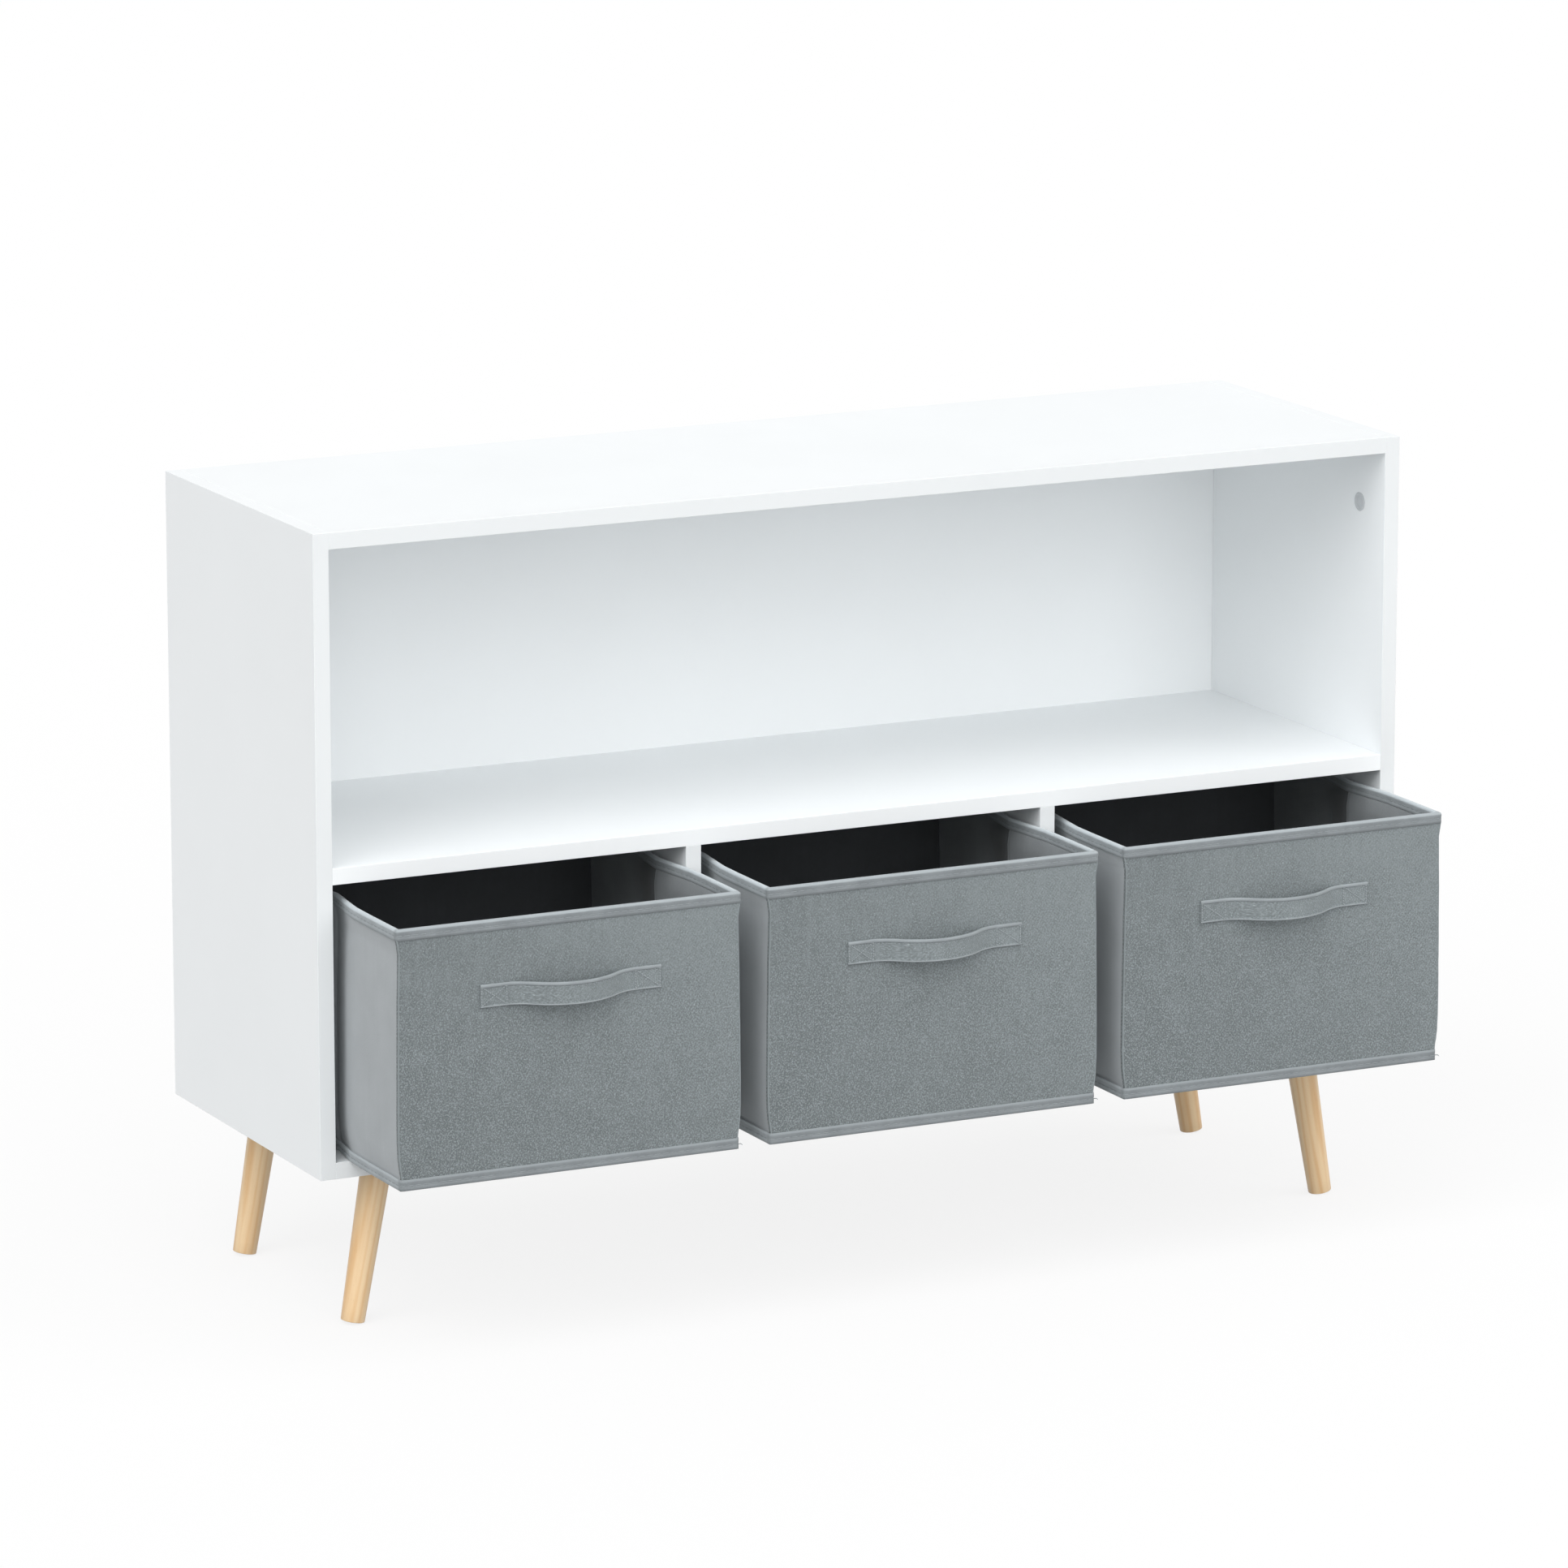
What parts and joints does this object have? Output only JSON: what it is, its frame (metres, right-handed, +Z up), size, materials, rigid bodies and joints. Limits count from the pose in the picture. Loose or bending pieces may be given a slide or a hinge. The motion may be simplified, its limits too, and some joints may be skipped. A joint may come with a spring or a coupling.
{
  "type": "toy storage organizer with bins",
  "caption": "Low white cabinet with a wide open shelf over a row of bays holding grey fabric bins that slide out, on splayed tapered wooden legs.",
  "frame": {"origin": "on the floor, under the centre of the box that the whole piece fills as it stands, with its bins partly pulled out", "axes": "+X to the right along the front, +Y from the front to the back, +Z up"},
  "size_m": [1.095, 0.478, 0.732],
  "materials": {
    "white_board": "white coated particle board, satin",
    "back_board": "white faced hardboard, satin",
    "leg_wood": "clear-coated pale pine, satin",
    "dowel_wood": "bare beech",
    "zinc_steel": "bright zinc-plated steel",
    "plate_steel": "zinc-plated pressed steel",
    "cast_zinc": "die-cast zinc alloy",
    "grey_plastic": "moulded, matt",
    "bin_fabric": "heathered grey twill-look fabric over board",
    "bin_lining": "black non-woven lining",
    "bin_binding": "folded grey binding tape",
    "strap_fabric": "doubled grey fabric strap",
    "base_board": "hardboard insert covered in black non-woven"
  },
  "bodies": {
    "cabinet": {"left_side_panel": "white_board", "right_side_panel": "white_board", "top_panel": "white_board", "middle_shelf": "white_board", "bottom_panel": "white_board", "divider_1": "white_board", "divider_2": "white_board", "back_panel": "back_board", "dowels": "dowel_wood", "cam_bolts": "zinc_steel", "cam_locks": "cast_zinc", "divider_screws": "zinc_steel", "side_caps": "grey_plastic", "leg_plate_screws": "zinc_steel", "hanger_bolts": "zinc_steel", "front_left_leg": "leg_wood", "front_left_leg_plate": "plate_steel", "front_right_leg": "leg_wood", "front_right_leg_plate": "plate_steel", "rear_left_leg": "leg_wood", "rear_left_leg_plate": "plate_steel", "rear_right_leg": "leg_wood", "rear_right_leg_plate": "plate_steel"},
    "left_bin": {"left_bin_front_wall": "bin_fabric", "left_bin_back_wall": "bin_fabric", "left_bin_left_wall": "bin_fabric", "left_bin_right_wall": "bin_fabric", "left_bin_floor": "bin_lining", "left_bin_base_board": "base_board", "left_bin_rim_binding": "bin_binding", "left_bin_base_binding": "bin_binding", "left_bin_handle": "strap_fabric"},
    "middle_bin": {"middle_bin_front_wall": "bin_fabric", "middle_bin_back_wall": "bin_fabric", "middle_bin_left_wall": "bin_fabric", "middle_bin_right_wall": "bin_fabric", "middle_bin_floor": "bin_lining", "middle_bin_base_board": "base_board", "middle_bin_rim_binding": "bin_binding", "middle_bin_base_binding": "bin_binding", "middle_bin_handle": "strap_fabric"},
    "right_bin": {"right_bin_front_wall": "bin_fabric", "right_bin_back_wall": "bin_fabric", "right_bin_left_wall": "bin_fabric", "right_bin_right_wall": "bin_fabric", "right_bin_floor": "bin_lining", "right_bin_base_board": "base_board", "right_bin_rim_binding": "bin_binding", "right_bin_base_binding": "bin_binding", "right_bin_handle": "strap_fabric"}
  },
  "joints": [
    {"name": "left_bin_slide", "type": "slide", "parent": "cabinet", "child": "left_bin", "axis": [0, -1, 0], "range_m": [-0.1345, 0.2]},
    {"name": "middle_bin_slide", "type": "slide", "parent": "cabinet", "child": "middle_bin", "axis": [0, -1, 0], "range_m": [-0.1345, 0.2]},
    {"name": "right_bin_slide", "type": "slide", "parent": "cabinet", "child": "right_bin", "axis": [0, -1, 0], "range_m": [-0.1345, 0.2]}
  ]
}
